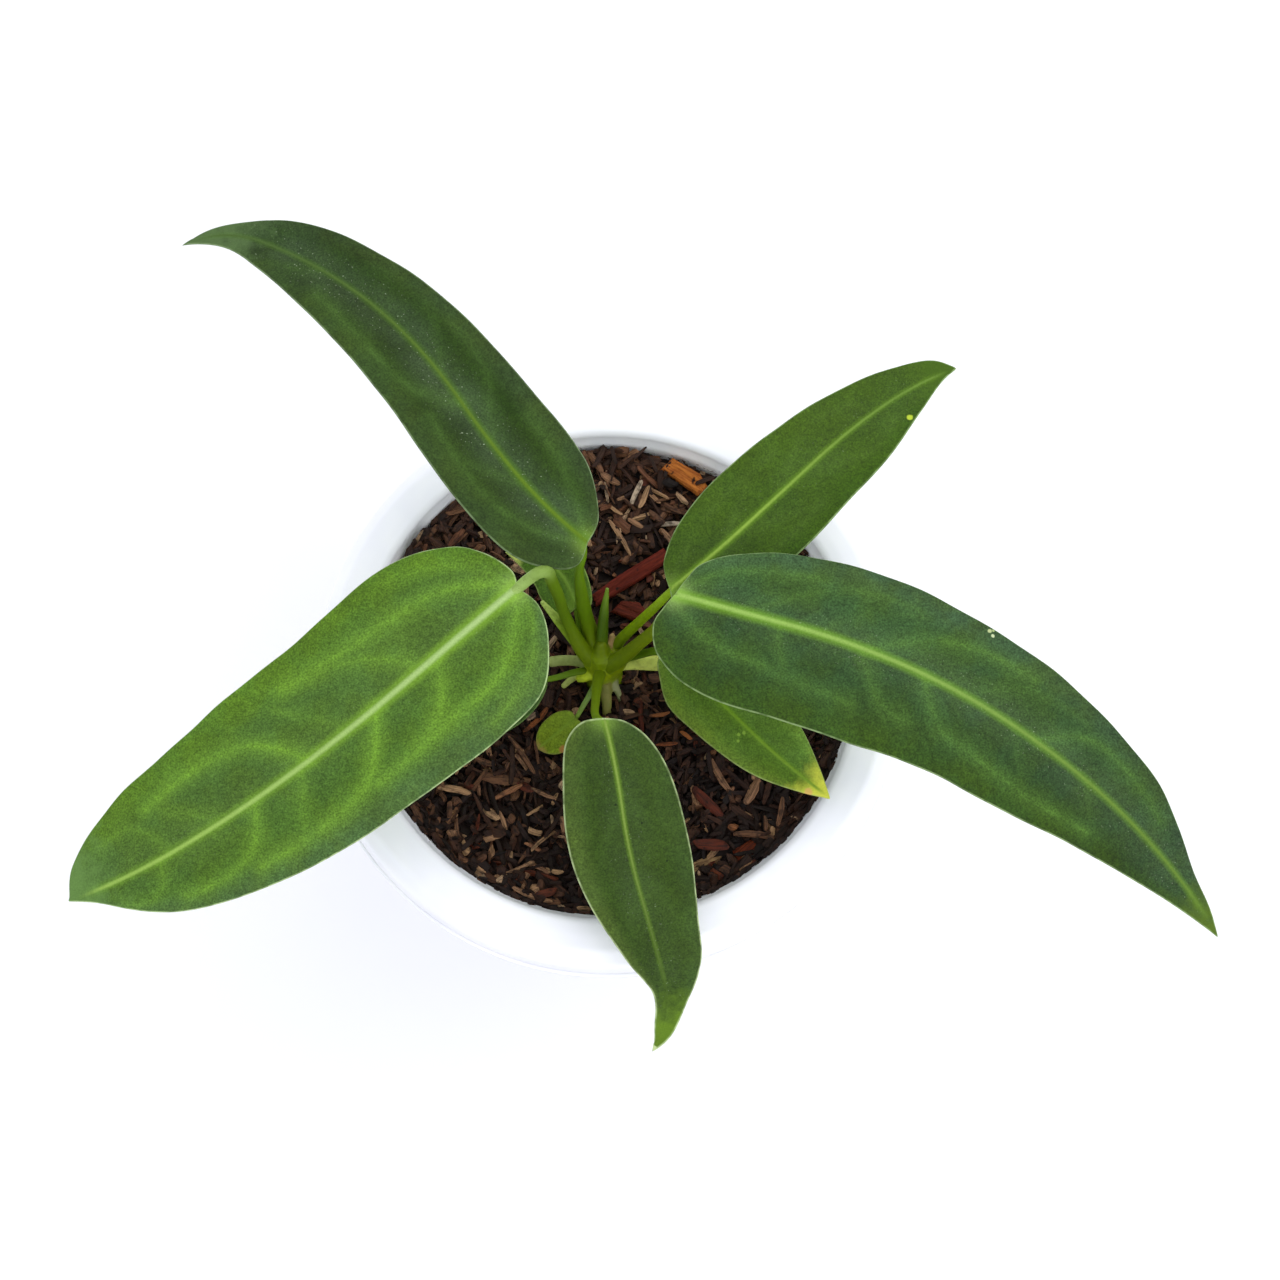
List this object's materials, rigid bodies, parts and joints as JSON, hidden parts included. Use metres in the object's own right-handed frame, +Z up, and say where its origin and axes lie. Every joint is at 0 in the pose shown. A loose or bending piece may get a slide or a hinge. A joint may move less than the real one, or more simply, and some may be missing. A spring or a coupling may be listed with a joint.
{
  "type": "potted queen anthurium",
  "caption": "Young queen anthurium: long heart-based leaves on stalks from a short crown, planted in husk and bark mix in a round plastic pot with a rolled rim.",
  "frame": {"origin": "centre of the pot's underside, on the surface it stands on", "axes": "+Z up along the pot's axis; -Y towards the side the small front leaf points to; +X to the right of that view"},
  "size_m": [0.2703, 0.1911, 0.1676],
  "materials": {
    "white_plastic": "moulded, soft gloss",
    "husk": "chopped fibrous husk, matte",
    "red_bark": "split bark, matte",
    "orange_bark": "split bark, matte",
    "tan_bark": "dry husk, matte",
    "stem": "living green skin, satin",
    "leaf_dark": "velvety leaf with pale veins",
    "leaf_bright": "velvety leaf with broad pale veins",
    "leaf_mid": "velvety leaf with pale veins",
    "leaf_blue_green": "velvety leaf with yellow-green midrib",
    "leaf_yellowing": "velvety leaf turning yellow at the tip",
    "leaf_olive": "smooth young leaf with a dry edge",
    "sheath": "smooth pale green"
  },
  "bodies": {
    "root": {"pot": "white_plastic", "husk_mix": "husk", "bark_chip_long": "red_bark", "bark_chip_broad": "red_bark", "bark_chip_edge": "orange_bark", "bark_chip_front": "red_bark", "bark_chip_tan": "tan_bark", "stem_with_roots": "stem", "leaf_back_left": "leaf_dark", "leaf_left": "leaf_bright", "leaf_back_right": "leaf_mid", "leaf_right": "leaf_blue_green", "leaf_front": "leaf_dark", "leaf_front_right": "leaf_yellowing", "leaf_back_small": "leaf_mid", "leaf_front_small": "leaf_olive", "leaf_low_left": "leaf_mid", "new_leaf_rolled": "stem", "sheath_leaf": "sheath"}
  },
  "joints": []
}
